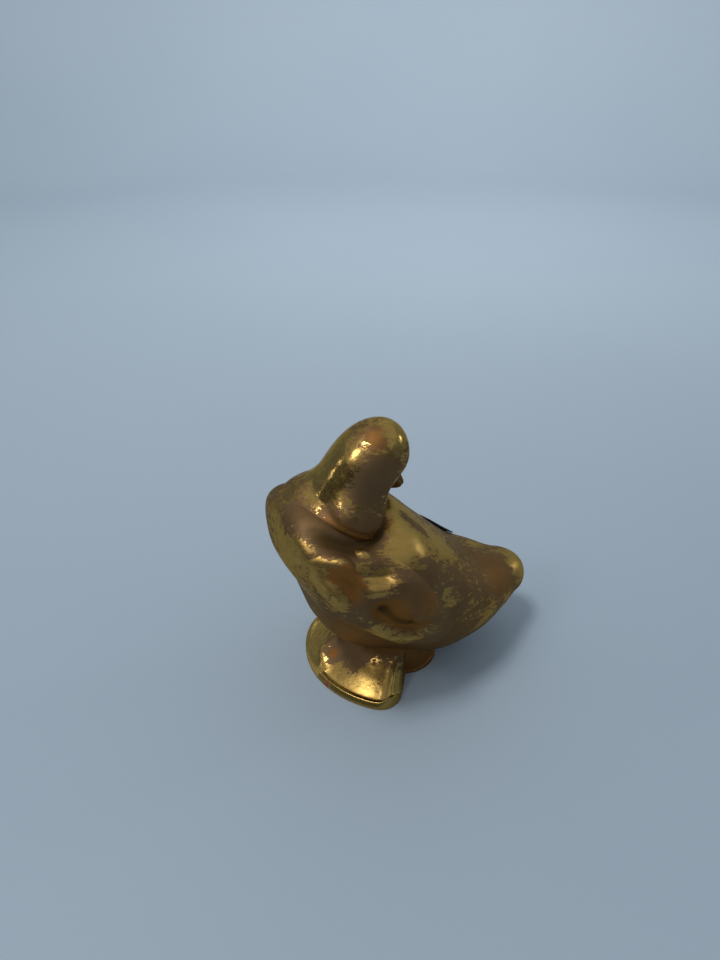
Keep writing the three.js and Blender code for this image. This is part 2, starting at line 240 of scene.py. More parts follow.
lustre_gold = (0.45, 0.286, 0.080, 1)
lustre_thin = (0.34, 0.206, 0.062, 1)
glaze_brown = (0.165, 0.094, 0.042, 1)
glaze_grey = (0.182, 0.114, 0.056, 1)
glaze_amber = (0.275, 0.120, 0.028, 1)
# umber: dark pooled glaze, also used as painted shade in the creases and in the trough beside the neck
umber_pool_and_shade = (0.060, 0.034, 0.010, 1)
sheen_warm = (0.86, 0.70, 0.48, 1)
bare_clay = (0.200, 0.068, 0.030, 1)
brush_slope = math.radians(16)
cloud_scale, streak_scale, fleck_scale, ripple_scale = 95, 760, 1500, 240
even, brushed, flicked = (1, 1, 1), (5, 1.4, 1), (2, 1, 1)  # how far each pattern is drawn out along the brush
glaze_rough = 0.56


def gilded_glaze(name, polish, ripple=0.35):
    """Worn gold lustre over brown glaze. The gilt shade, broken up by brush streaks, says where the gold holds.
    The pooled shade turns the glaze amber where it ran thick, and dark umber where it is deepest: partly real
    pooling, partly painted shade in the creases. Another value lays umber as painted shade in the trough beside the
    neck, and the bare shade shows the clay of a chip. The polish is the roughness of the gold, the ripple how uneven
    the glaze lies."""
    material, start = new_finish(name)
    where = start.node("ShaderNodeTexCoord", {}, {}, "Object")
    gilt = start.node("ShaderNodeAttribute", {"attribute_name": "gilt"}, {}, "Fac")
    pooled = start.node("ShaderNodeAttribute", {"attribute_name": "pooled"}, {}, "Fac")
    # painted shade: a value that darkens the trough beside the neck to umber
    sooty = start.node("ShaderNodeAttribute", {"attribute_name": "sooty"}, {}, "Fac")
    bare = start.node("ShaderNodeAttribute", {"attribute_name": "bare"}, {}, "Fac")

    def mottle(scale, stretch, detail, roughness):
        drawn = start.node("ShaderNodeMapping", {"vector_type": "TEXTURE"}, {
            "Vector": where, "Rotation": (0, brush_slope, 0), "Scale": stretch})
        return start.node("ShaderNodeTexNoise", {}, {
            "Vector": drawn, "Scale": scale, "Detail": detail, "Roughness": roughness}, "Fac")

    def between(value, low, high):
        return start.node("ShaderNodeMapRange", {"interpolation_type": "SMOOTHSTEP"}, {
            "Value": value, "From Min": low, "From Max": high})

    def mixed(share, one, other):
        return start.node("ShaderNodeMix", {"data_type": "RGBA"}, {0: share, 6: one, 7: other}, 2)

    cloud = mottle(cloud_scale, even, 3, 0.55)
    streak = mottle(streak_scale, brushed, 4, 0.62)
    fleck = mottle(fleck_scale, flicked, 2, 0.6)
    hold = gilt + (cloud - 0.5) * 0.55 + (streak - 0.5) * 1.15 + (fleck - 0.5) * 0.75
    gold = between(hold, 0.46, 0.56)
    thin = between(hold, 0.50, 0.95)
    glaze = mixed(between(cloud, 0.35, 0.65), glaze_brown, glaze_grey)
    glaze = mixed(between(pooled * (streak + cloud * 1.4 - 0.2), 0.0, 0.5), glaze, glaze_amber)
    # partly painted shade: the deepest pooled glaze turns umber, standing in for shade in the creases as well as
    # thick glaze
    glaze = mixed(between(pooled, 0.70, 1.0), glaze, umber_pool_and_shade)
    # painted shade: umber laid into the trough beside the neck, where shade falls
    glaze = mixed(sooty, glaze, umber_pool_and_shade)
    lustre = mixed(thin, lustre_thin, lustre_gold)
    chip = between(bare * (1 + (streak - 0.5) * 2.4 + (fleck - 0.5) * 0.8), 0.35, 0.80)
    colour = mixed(chip, mixed(gold, glaze, lustre), bare_clay)
    uneven = mottle(ripple_scale, even, 2, 0.5)
    height = uneven * 0.8 + gold * 0.03 + streak * 0.08
    bump = start.node("ShaderNodeBump", {}, {"Height": height, "Strength": ripple, "Distance": 0.0006})
    rough = glaze_rough + gold * (polish - glaze_rough) + (fleck - 0.5) * 0.12 + pooled * 0.1 + chip * 0.2
    shade = start.node("ShaderNodeBsdfPrincipled", {}, {
        "Base Color": colour, "Metallic": (0.82 + gold * 0.16) * (1 - chip), "Roughness": rough, "Normal": bump,
        "IOR": 1.52, "Specular IOR Level": 0.3, "Specular Tint": sheen_warm})
    start.node("ShaderNodeOutputMaterial", {}, {"Surface": shade})
    return material


def belly_recess(points, normals):
    """The belly is drawn in under the breast and wings: a soft step below one line along each flank."""
    line = [(0.02, 150), (0.10, 142), (0.17, 124), (0.24, 106),
            (0.33, 100), (0.42, 106), (0.52, 104), (0.60, 96)]
    below, share = near_pair(points, normals, line)
    return soft_step(below, -0.5, 4.5) * soft_step(share, 0.05, 0.4) * (1 - soft_step(share, 0.8, 1.0))


def neck_valley(points, normals):
    """The trunk sinks in a trough that runs over each wing's leading ridge and up behind the neck."""
    line = [(0.10, 25), (0.146, 31), (0.188, 37), (0.235, 39),
            (0.285, 37), (0.328, 30), (0.362, 21), (0.400, 10)]
    across, share = near_pair(points, normals, line)
    return swell(across, 0, trough_half_width) * soft_step(share, 0.0, 0.40) * soft_step(share, 1, 0.8)


def far_shoulder(points):
    """How far the breast was pushed up beside the neck on the right, where the head turns."""
    return rubbed(points, [(0.215, -36, shoulder_spread, shoulder_push)])


place, turn = np.meshgrid(
    ring_places(1, breast_dome, tail_dome, 36, 190), np.arange(trunk_sides) / trunk_sides * 2 * math.pi,
    indexing="ij")
trunk, trunk_out = trunk_skin(place, turn), trunk_normal(place, turn)
set_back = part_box("body")[0].x / mm - trunk[..., 0].min()
heel = trunk_skin(np.array(heel_place), np.array(math.pi))
recess = belly_recess(trunk, trunk_out)
from_drain = np.hypot(trunk[..., 0] - heel[0] - drain_set_back, trunk[..., 1])
drain = (1 - soft_step(from_drain, drain_radius - 0.6, drain_radius + 0.4)) * (trunk_out[..., 2] < -0.5)
valley = neck_valley(trunk, trunk_out)
sunk = belly_draw_in * recess + trough_depth * valley + drain_depth * drain - far_shoulder(trunk)
trunk_points = trunk - trunk_out * sunk[..., None]
lustre_left = 0.40
trunk_rubbing = [  # place, turn, spread and amount; less than nothing where the gold is worn off
    # the back
    (0.434, 2, 7, 0.40), (0.428, 24, 8, 0.60), (0.394, 40, 5, 0.45), (0.530, 20, 7, 0.45), (0.342, 20, 7, -0.55),
    (0.448, 13, 2.2, -0.75), (0.470, 18, 2.4, -0.80), (0.497, 20, 2.2, -0.60), (0.565, 26, 5, 0.30),
    (0.551, 42, 8, -0.08), (0.765, -6, 5, 0.3),
    # the left flank behind the wing
    (0.529, 58, 4, 0.12), (0.57, 72, 4, 0.02), (0.62, 73, 4, 0.06), (0.67, 76, 5, 0.32), (0.78, 86, 4, 0.25),
    (0.426, 58, 6, -0.3), (0.70, 60, 7, -0.06), (0.578, 98, 8, -0.10), (0.582, 122, 2.4, 0.4), (0.64, 92, 2.2, 0.4),
    # the tail
    (0.781, 33, 9, -0.28), (0.94, 42, 5, 0.6), (0.95, 20, 4, 0.4),
    # the breast and the root of the neck
    (0.033, -4, 7, 0.15), (0.138, 15, 6, -0.40), (0.15, -20, 9, 0.06), (0.09, 40, 5, 0.25), (0.029, 72, 7, 0.3),
    (0.281, 109, 8, -0.2), (0.231, 120, 5, 0.2), (0.239, 2, 4.5, 0.45), (0.213, 7, 3.5, 0.35), (0.06, 12, 5, 0.2),
    # the right side
    (0.35, -40, 12, 0.2), (0.60, -60, 12, 0.15)]
# Painted shade: the trough beside the neck, and one spot beside the root of the neck, are darkened to umber and lose
# gold, standing in for the shade in the crease.
trough_shade_spots = [(0.199, 25, 6, 0.40)]
trunk_pools = [(0.76, 43, 10, 0.28), (0.60, 85, 9, 0.16)]
body_gilt = lustre_left - 0.28 * recess - 0.4 * valley + rubbed(trunk, trunk_rubbing)
body_painted_shade = np.maximum(0.85 * soft_step(valley, 0.1, 1.0), rubbed(trunk, trough_shade_spots))
body_pooled = 0.25 * recess + 0.15 * valley + rubbed(trunk, trunk_pools)
body = cast_piece("body", trunk_skin(np.array(0.0), np.array(0.0)), trunk_points,
                  trunk_skin(np.array(1.0), np.array(0.0)), gilt=body_gilt, sooty=body_painted_shade, pooled=body_pooled)
body.data.materials.append(gilded_glaze("worn gilding on the body", polish=0.36))
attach(body, "root")
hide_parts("body")


# The head and neck
# One thick roll of clay, leaning back from the breast and domed over as the head. It was luted on while wet:
# smoothed into the breast in front, and left as a rounded fold with a crease below it along the sides.
neck_place, neck_sink, neck_reach, neck_rise, neck_bow = 0.235, 16.0, 25.4, 31.0, 0.55
root_dome, head_dome = 0.15, 0.45
head_half_width, head_half_depth = 10.7, 10.4
flare_wide, flare_deep, flare_end = 4.0, 1.6, 0.42
throat_place, throat_spread, throat_depth = 0.58, 0.2, 3.0
fold_height, fold_gap, fold_skirt, fold_under = 3.2, 1.6, 5.0, 2.4
far_fillet, near_fillet, side_fillet = 8.0, 2.6, 0.8
neck_sides = 220


def neck_path(t):
    """Middle line of the neck: straight back from its root, its rise bowed upward."""
    back = trunk_skin(np.array(neck_place), np.array(0.0))
    rise = neck_rise * (t + neck_bow * t * (1 - t))
    return np.stack([back[0] + neck_reach * t, 0 * t, back[2] - neck_sink + rise], -1)


def roll_skin(path, t, turn, wide, deep, full):
    """Elliptical rings carried square to a path, as points and outward directions."""
    ahead = unit(path(t + 0.001) - path(t - 0.001))
    side = unit(np.cross(ahead, (0, 0, 1)))
    over = np.cross(side, ahead)
    out = side * (wide * full * np.cos(turn))[..., None] + over * (deep * full * np.sin(turn))[..., None]
    return path(t) + out, unit(out)


def clearance(points, skin, normals):
    """Height of points over a skin, along the direction of the nearest of its own points, and that direction."""
    flat, spots, facing = points.reshape(-1, 3), skin.reshape(-1, 3), normals.reshape(-1, 3)
    size = (spots**2).sum(-1)
    nearest = np.concatenate([np.argmin(size - 2 * part @ spots.T, axis=1) for part in np.array_split(flat, 24)])
    height = ((flat - spots[nearest]) * facing[nearest]).sum(-1)
    return height.reshape(points.shape[:-1]), facing[nearest].reshape(points.shape)


def eased(shift, times):
    """Shifts of a closed roll evened out, some times over: each becomes the mean of itself, counted twice, and
    its four neighbours."""
    for _ in range(times):
        ahead, behind = (np.concatenate(ends) for ends in ((shift[1:], shift[-1:]), (shift[:1], shift[:-1])))
        shift = (2 * shift + ahead + behind + np.roll(shift, 1, 1) + np.roll(shift, -1, 1)) / 6
    return shift


def fillet(gap, radius):
    """A quarter round that runs a surface out to another one as the gap between them closes, and fades below it."""
    inside = np.clip(1 - gap / radius, 0, 1)
    return radius * (1 - np.sqrt(1 - inside**2)) * soft_step(gap, -6, -2)


t, around = np.meshgrid(
    ring_places(1, root_dome, head_dome, 40, 130), np.arange(neck_sides) / neck_sides * 2 * math.pi, indexing="ij")
flare = np.clip(1 - t / flare_end, 0, 1) ** 2
throat = throat_depth * swell(t, throat_place, throat_spread) * (np.sin(around) < 0)
neck, neck_out = roll_skin(neck_path, t, around, head_half_width + flare_wide * flare,
                           head_half_depth + flare_deep * flare - throat, domed(t, 1, root_dome, head_dome))
near_neck = (place < 0.62) & (np.cos(turn) > -0.35)
near_trunk = trunk_points[near_neck][::5], trunk_out[near_neck][::5]
gap, trunk_facing = clearance(neck, *near_trunk)
sideways = unit(neck_out - trunk_facing * (neck_out * trunk_facing).sum(-1, keepdims=True))
facing_front = soft_step(0.9 * -neck_out[..., 0] + 0.30 * neck_out[..., 1], -0.05, 0.65)
front_fillet = near_fillet + (far_fillet - near_fillet) * soft_step(neck_out[..., 1], -0.3, 0.4)
radius = side_fillet + (front_fillet - side_fillet) * facing_front
beside_neck = (1 - facing_front) ** 2 * soft_step(neck_out[..., 0], 0.9, 0.3)
fold = fold_height * swell(gap, fold_gap, np.where(gap > fold_gap, fold_skirt, fold_under)) * beside_neck
neck_points = neck + sideways * fillet(gap, radius)[..., None]
new_gap, trunk_facing = clearance(neck_points, *near_trunk)
laid = soft_step(gap, radius, 0) * soft_step(gap, -6, -2)
neck_points += neck_out * fold[..., None] - trunk_facing * ((new_gap - gap) * laid)[..., None]
neck_points = neck + eased(neck_points - neck, 12)
root = soft_step(gap, 7, 0.5)
head_gilt = 0.50 + 0.30 * soft_step(-neck_out[..., 0], -0.2, 0.7)
neck_spots = np.array([  # where on the neck, spread and amount of gold; the first one is the amber spot on the crown
    (-14.3, -4.9, 86.1, 3.6, -0.6), (-9.5, -6.2, 85, 4, 0.35), (-15.7, 2.5, 86.5, 4.5, -0.25),
    (-17.3, -10.1, 77.1, 5, -0.6), (-14.1, -9.9, 79.5, 4, -0.5), (-22, -10, 74, 4, -0.4),
    (-30.6, -4.8, 70.4, 4, 0.4)])
head_gilt += (neck_spots[:, 4] * np.exp(-(np.linalg.norm(
    neck[..., None, :] - neck_spots[:, :3], axis=-1) / neck_spots[:, 3]) ** 2)).sum(-1)
head_gilt += (lustre_left + rubbed(neck_points, trunk_rubbing) - head_gilt) * root
crown = swell(np.linalg.norm(neck - neck_spots[0, :3], axis=-1), 0, 4.0)
head_pooled = 0.4 * soft_step(gap, 3.5, 0.0) * (1 - facing_front) + 0.4 * crown
head = cast_piece("head_and_neck", neck_path(np.array(0.0)), neck_points, neck_path(np.array(1.0)),
                  gilt=head_gilt, pooled=head_pooled)
head.data.materials.append(gilded_glaze("worn gilding on the head", polish=0.19))
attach(head, "root")
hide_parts("head_and_neck")


# The bill
# A flattened tongue of clay pressed on to the far side of the head and bent down along the back.
# The brush missed it, so it shows the glossy brown glaze alone.
bill_place, bill_turn, bill_drop = 0.70, math.radians(42), math.radians(67)
bill_length, bill_lift, bill_half_width, bill_tip_swell = 20.0, 3.0, 5.2, 1.1
bill_root_depth, bill_tip_depth, bill_dome, mouth_depth = 4.6, 2.0, 0.4, 0.35
bill_sides = 96


def bill_path(t):
    """Middle line of the bill: straight out and down from the head, lifting towards its tip."""
    level = np.array([math.cos(bill_turn), math.sin(bill_turn), 0.0])
    along = level * math.cos(bill_drop) - np.array([0, 0, math.sin(bill_drop)])
    lift = unit(level + (0, 0, 1))
    t = np.asarray(t, float)[..., None]
    return neck_path(np.array(bill_place)) + along * bill_length * t + lift * bill_lift * t**2


t, around = np.meshgrid(
    ring_places(1, bill_dome, bill_dome, 24, 30), np.arange(bill_sides) / bill_sides * 2 * math.pi, indexing="ij")
mouth = mouth_depth * swell(np.sin(around), -0.15, 0.14) * (np.abs(np.cos(around)) > 0.3)
bill_points, bill_out = roll_skin(bill_path, t, around, bill_half_width + bill_tip_swell * soft_step(t, 0.45, 0.85),
                                  bill_root_depth + (bill_tip_depth - bill_root_depth) * t,
                                  domed(t, 1, bill_dome, bill_dome))
bill_points = bill_points - bill_out * (mouth * soft_step(t, 0.3, 0.5))[..., None]
bill = cast_piece("bill", bill_path(0.0), bill_points, bill_path(1.0),
                  gilt=0.10 + 0 * t, pooled=0.25 + 0.5 * soft_step(t, 0.6, 0.2))
bill.data.materials.append(gilded_glaze("brown glaze on the bill", polish=0.30))
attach(bill, "root")
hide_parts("bill")


# The wings
# A thin slab of clay laid on each flank and modelled with a thumb into three scooped feathers under a leading ridge.
# Each scoop runs down into a crease, and the next edge rises over it as a thick rim that kept its gold.
wing_upper = [  # from the front tip to the rear tip: place, turn, and the share of the width its edge takes to rise
    (0.075, 74, 0.3), (0.083, 58, 0.3), (0.11, 47, 0.3), (0.19, 43, 0.28), (0.27, 40, 0.26),
    (0.34, 31, 0.3), (0.42, 42, 0.4), (0.48, 56, 0.5), (0.535, 70, 0.5), (0.555, 86, 0.5)]
wing_lower = [
    (0.075, 74, 0.3), (0.08, 92, 0.3), (0.14, 107, 0.25), (0.22, 106, 0.16), (0.31, 100, 0.14),
    (0.37, 105, 0.14), (0.44, 112, 0.14), (0.51, 108, 0.2), (0.545, 99, 0.4), (0.555, 86, 0.5)]
wing_tip_rise = (0.2, 0.3)
wing_thick, wing_thinnest, wing_tuck, wing_under, trough_tuck = 2.3, 0.15, 0.5, 1.2, 2.0
wing_front, far_wing_front, wing_front_share = (0.10, 0.25), (0.20, 0.36), 0.04
creases = [  # stops of place and turn; then scoop depth and reach above, rim height, rise and fade below
    ([(0.090, 64), (0.130, 65), (0.160, 68), (0.210, 70), (0.255, 75), (0.280, 77)], 2.1, 5.0, 1.1, 3.2, 4.6),
    ([(0.276, 36), (0.273, 46), (0.287, 53), (0.318, 54), (0.355, 51), (0.388, 44)], 2.1, 5.0, 0.8, 3.2, 3.6),
    ([(0.305, 64), (0.330, 75), (0.358, 84), (0.384, 88), (0.414, 89), (0.442, 85), (0.455, 75)],
     2.0, 5.2, 1.1, 3.4, 4.0),
    ([(0.030, 44), (0.090, 46), (0.140, 48), (0.190, 46), (0.225, 41), (0.258, 37), (0.305, 33)],
     0.0, 1.6, 0.8, 2.8, 3.0),
]
rim_gilding = [  # share of the crease it starts at, amount, width; then glaze pooled in the scoop (amber, and umber at its deepest, partly painted shade) and gold left in the scoop
    (0.0, 1.0, 3.4, 1.0, 0.0), (0.40, 0.9, 2.6, 0.1, 0.8), (0.15, 1.0, 3.2, 1.0, 0.0), (0.0, 0.9, 2.4, 0.0, 0.0)]
knob_place, knob_height, knob_spread = (0.303, 38), 1.5, 1.8
wing_rings, wing_steps, under_skip = 221, 161, 10


def feather_relief(points, normals, side):
    """Height of the modelled feathers, and how hollow and how proud each point is.
    Across each crease the scoop sinks as half a bell, then the rim climbs in a soft step and dies away as half a
    bell."""
    relief, hollow, proud = (np.zeros(points.shape[:-1]) for _ in range(3))
    for (stops, depth, reach, rim, rise, fade), (begin, amount, width, glaze, gold) in zip(creases, rim_gilding):
        below, share = near_line(points, normals, stops, side)
        held = soft_step(share, 0, 0.2) * soft_step(share, 1, 0.7)
        scoop = np.where(below < 0, swell(below, 0, reach), 1 - soft_step(below, 0, rise))
        edge = np.where(below < rise, soft_step(below, 0, rise), swell(below, rise, fade))
        relief += held * (rim * edge - depth * scoop)
        hollow += held * scoop * glaze
        proud += amount * held * soft_step(share, begin, begin + 0.2) * swell(below, rise, width)
        proud += gold * held * scoop
    return relief, hollow, proud


def wing_piece(name, side):
    """A slab ruled from its upper to its lower edge over the trunk. It rises from its edges, which are tucked under
    the skin, and dies away at the front on to the breast."""
    along, across = np.meshgrid(np.linspace(0, 1, wing_rings), np.linspace(0, 1, wing_steps), indexing="ij")
    upper, lower = through_rows(wing_upper, along), through_rows(wing_lower, along)
    spot = upper + (lower - upper) * across[..., None]
    place, turn = spot[..., 0], side * np.radians(spot[..., 1])
    points, normals = trunk_skin(place, turn), trunk_normal(place, turn)
    relief, hollow, proud = feather_relief(points, normals, side)
    risen = soft_step(across, 0, upper[..., 2]) * soft_step(1 - across, 0, lower[..., 2])
    risen *= soft_step(along, 0, wing_tip_rise[0]) * soft_step(1 - along, 0, wing_tip_rise[1])
    faded = soft_step(place, *(wing_front if side > 0 else far_wing_front))
    front = wing_front_share + (1 - wing_front_share) * faded
    sunk = neck_valley(points, normals)
    lift = np.maximum(wing_thick + relief, wing_thinnest) * front * risen
    lift -= (wing_tuck + trough_tuck * sunk) * (1 - risen)
    knob = trunk_skin(np.array(knob_place[0]), np.array(side * math.radians(knob_place[1])))
    knob = swell(np.linalg.norm(points - knob, axis=-1), 0, knob_spread)
    lift += knob_height * knob
    points = points + normals * far_shoulder(points)[..., None]
    outer = points + normals * lift[..., None]
    inner = (points - normals * (wing_under + trough_tuck * sunk)[..., None])[:, ::-under_skip]
    rings = np.concatenate([outer, inner], 1)
    shade = lambda values: np.concatenate([values, values[:, ::-under_skip]], 1)[1:-1]
    # The scoops hold pooled glaze: amber where it is thin, umber where it is deepest, which is partly painted shade
    # in the creases; they also keep less gold.
    glazed = np.clip(hollow, 0, 1) * (1 - np.clip(proud, 0, 1))
    gilt = 0.30 + 0.45 * np.clip(proud, 0, 1.2) - 0.40 * glazed
    gilt += (1 - risen) * (lustre_left + rubbed(points, trunk_rubbing) - gilt) + 0.5 * knob
    pooled = glazed + rubbed(points, [(0.445, side * 69, 6, 0.3)])
    wing = cast_piece(name, rings[0].mean(0), rings[1:-1], rings[-1].mean(0), gilt=shade(gilt), pooled=shade(pooled))
    wing.data.materials.append(gilded_glaze("worn gilding on the " + name.replace("_", " "), polish=0.40))
    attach(wing, "root")
    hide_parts(name)


wing_piece("left_wing", 1)
wing_piece("right_wing", -1)


# The feet
# Two webbed feet modelled as fans that meet in a ridge under the breast, each dished inside a thick raised lip.
# They are the duck's base. The gold is brightest here, and a chip on the left lip shows the red clay.
toe_reach, toe_cut_back, corner_cut_back, step_out = 30.3, 3.4, 0.13, 6.0
fan_angle, fan_fade, heel_radius = math.radians(58), 0.2, 11.0
foot_edge, web_height, instep_height, instep_end = 0.4, 0.9, 16.0, 0.95
instep_fall, heel_fall, mound_shoulder, heel_shoulder = 1.15, 0.5, 0.16, 0.45
lip_height, lip_place, lip_spread, outer_toe_height = 0.8, 0.96, 0.025, 1.8
dish_rise, shoulder_start = 0.3, 0.96
mound_height, mound_angle, mound_lean = 2.8, math.radians(11), math.radians(40)
mound_spread, mound_drop = math.radians(17), math.radians(12)
seam_overlap = 0.03
web_middle = (10.0, 7.0)
fan_points, seam_points, web_rings = 220, 120, 100
lip_chip, seam_pool, worn_spread = (-30.2, -4.4), (-24.5, 3.4), 1.5
bright_spot, bright_spread = (-17.3, -12.5), 6.0


def fan_reach(angle, side):
    """How far the web reaches at an angle from the breast: a fan with cut corners that falls back to a round heel."""
    share = np.minimum(angle / fan_angle, 1)
    step = (step_out if side > 0 else 0) - toe_cut_back
    fan = (toe_reach + step * np.sin(share * math.pi / 2)) * (1 - corner_cut_back * share**12)
    return fan + (heel_radius - fan) * soft_step(angle / fan_angle, 1, 1 + fan_fade)


def web_top(angle, out, side):
    """Height of the web: an instep that falls away from the heel, a dish that rises to a thin lip along the edge,
    a raised outer toe, and a low mound on the right foot that drops to the left one at the seam."""
    fan = 1 - soft_step(angle / fan_angle, 1, 1 + fan_fade)
    fall = instep_fall + (heel_fall - instep_fall) * (1 - fan)
    instep = instep_height * np.clip(1 - out / instep_end, 0, 1) ** fall
    plain = swell(side * angle, mound_angle, 1.5 * mound_spread) * (side > 0)
    lip = lip_height * swell(out, lip_place, lip_spread) + dish_rise * soft_step(out, 0.6, lip_place)
    lip = lip * (1 - plain)
    outer_toe = outer_toe_height * swell(angle / fan_angle, 0.94, 0.09) * soft_step(out, 0.3, 0.7)
    from_crest = side * angle - mound_angle - mound_lean * (1 - out)
    mound = mound_height * swell(from_crest, 0, np.where(from_crest < 0, mound_drop, mound_spread))
    mound = mound * soft_step(out, 0.35, 0.7) * (1 - soft_step(out, 0.86, 1))
    shoulder_width = 1 - shoulder_start + mound_shoulder * plain + heel_shoulder * (1 - fan)
    shoulder = np.sqrt(1 - np.clip(1 - (1 - out) / shoulder_width, 0, 1) ** 2)
    return foot_edge + (web_height - foot_edge + instep + (lip + outer_toe) * fan + mound) * shoulder


def foot_piece(name, side):
    """Half of the fan, from a point inside it to its outline and the seam, then down to the flat sole."""
    angle = np.linspace(0, math.pi, fan_points)
    reach = fan_reach(angle, side)
    curve = np.stack([heel[0] - reach * np.cos(angle), side * reach * np.sin(angle)], -1)
    seam = np.linspace(curve[-1], curve[0], seam_points + 2)[1:-1]
    outline = np.concatenate([curve, seam])
    outline[:, 1] = side * np.maximum(side * outline[:, 1], -seam_overlap)
    outline[fan_points:, 1] = -side * seam_overlap
    middle = np.array([heel[0] - web_middle[0], side * web_middle[1]])
    out = 1 - (1 - np.linspace(0, 1, web_rings + 1)[1:]) ** 1.6
    plan = middle + (outline - middle) * out[:, None, None]
    plan_x, plan_y = heel[0] - plan[..., 0], np.maximum(side * plan[..., 1], 0)
    turned = np.arctan2(plan_y, plan_x)
    share = np.minimum(np.hypot(plan_x, plan_y) / fan_reach(turned, side), 1)
    top = np.concatenate([plan, web_top(turned, share, side)[..., None]], -1)
    belly = (np.cos(turn) < 0.2) & (place < 0.8)
    gap, _ = clearance(top, trunk_points[belly][::5], trunk_out[belly][::5])
    behind = soft_step(turned / fan_angle, 1.0, 1.2)
    top[..., 2] += (0.6 + 0.4 * behind) * fillet(gap, 5.0 + 4.0 * behind)
    sole = np.concatenate([plan[-1:], np.zeros((1, len(outline), 1))], -1)
    rings = np.concatenate([top, sole])
    chip_x, chip_y = lip_chip if side < 0 else seam_pool
    worn = swell(np.hypot(top[..., 0] - chip_x, top[..., 1] - chip_y), 0, worn_spread)
    tucked = soft_step(gap, 4, 0)
    gilt = 0.66 + 0.25 * swell(share, lip_place, 0.1) - 0.30 * swell(share, 0.5, 0.15) - 0.35 * tucked - 0.6 * behind
    pooled = np.maximum(0.5 * tucked, 0.35 * behind)
    if side < 0:
        gilt -= 0.45 * soft_step(turned / fan_angle, 0.50, 0.25) * soft_step(share, 0.85, 0.6)
        gilt += 0.5 * swell(np.hypot(*np.moveaxis(top[..., :2] - bright_spot, -1, 0)), 0, bright_spread)
    else:
        from_crest = turned - mound_angle - mound_lean * (1 - share)
        gilt -= 0.4 * soft_step(from_crest, 0.05, -0.12) * soft_step(share, 0.95, 0.75) + 0.5 * worn
        pooled, worn = np.maximum(pooled, 0.5 * worn), 0 * worn
    shade = lambda values: np.concatenate([values, values[-1:]])
    foot = cast_piece(name, top[0].mean(0), rings, np.array([*middle, 0.0]),
                      gilt=shade(gilt), pooled=shade(pooled), bare=shade(worn))
    foot.data.materials.append(
        gilded_glaze("bright gilding on the " + name.replace("_", " "), polish=0.26, ripple=0.2))
    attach(foot, "root")
    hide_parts(name)


foot_piece("left_foot", -1)
foot_piece("right_foot", 1)


# The label
# A small blank oval of black paper, stuck to the far slope of the back.
# It is glued at both ends and lifts in the middle, where the back bends away from it.
label_place, label_turn, label_half_place, label_half_turn = 0.66, -33, 0.055, 16
label_glue, label_bridge, label_thick = 0.15, 0.45, 0.4
label_rings, label_sides = 24, 96
paper_black = (0.004, 0.003, 0.003, 1)
paper_worn = (0.030, 0.026, 0.024, 1)


def label_skin(out, around, extra):
    """An oval patch held over the trunk by its glue, bridging the bend of the back."""
    place = label_place + label_half_place * out * np.cos(around)
    turn = np.radians(label_turn + label_half_turn * out * np.sin(around))
    lift = label_glue + label_bridge * (1 - (out * np.cos(around)) ** 2) + extra
    return trunk_skin(place, turn) + trunk_normal(place, turn) * lift[..., None]


def black_paper():
    """Matt black paper: pressed fibres in the tone and the surface, rubbed paler at its edge."""
    material, start = new_finish("black paper")
    where = start.node("ShaderNodeTexCoord", {}, {}, "Object")
    edge = start.node("ShaderNodeAttribute", {"attribute_name": "edge"}, {}, "Fac")
    fibre = start.node("ShaderNodeTexNoise", {}, {"Vector": where, "Scale": 2600, "Detail": 4}, "Fac")
    colour = start.node("ShaderNodeMix", {"data_type": "RGBA"}, {
        0: fibre * 0.5 * (edge * 0.6 + 0.4), 6: paper_black, 7: paper_worn}, 2)
    bump = start.node("ShaderNodeBump", {}, {"Height": fibre, "Strength": 0.3, "Distance": 0.0001})
    shade = start.node("ShaderNodeBsdfPrincipled", {}, {
        "Base Color": colour, "Roughness": 0.45 + fibre * 0.25, "Normal": bump})
    start.node("ShaderNodeOutputMaterial", {}, {"Surface": shade})
    return material


out, around = np.meshgrid(np.linspace(0, 1, label_rings + 1)[1:],
                          np.arange(label_sides) / label_sides * 2 * math.pi, indexing="ij")
paper_top, paper_under = label_skin(out, around, label_thick), label_skin(out, around, 0)[::-1]
edge = np.concatenate([out**8, out[::-1] ** 8])
label = cast_piece("back_label", paper_top[0].mean(0), np.concatenate([paper_top, paper_under]),
                   paper_under[-1].mean(0), edge=edge)
label.data.materials.append(black_paper())
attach(label, "root")
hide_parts("back_label")


# The table
# A pale matt board that curves up into a low wall all round, as a light tent does.
# The wall is dim behind the camera, so that the gold has something dark to mirror.
floor_radius, floor_bend, wall_height = 0.80, 0.30, 0.75
board_rings, board_sides = 80, 128
board_pale = (0.40, 0.474, 0.545, 1)
board_cool = (0.37, 0.445, 0.52, 1)
board_dim = (0.12, 0.135, 0.15, 1)
dim_side = math.radians(230)


def tent_profile(share):
    """Radius and height of the board: level to its bend, a quarter round, then straight up."""
    lengths = np.array([floor_radius, floor_bend * math.pi / 2, wall_height - floor_bend])
    run = share * lengths.sum()
    bend = np.clip((run - lengths[0]) / floor_bend, 0, math.pi / 2)
    up = np.clip(run - lengths[0] - lengths[1], 0, None)
    return np.minimum(run, lengths[0]) + floor_bend * np.sin(bend), floor_bend * (1 - np.cos(bend)) + up


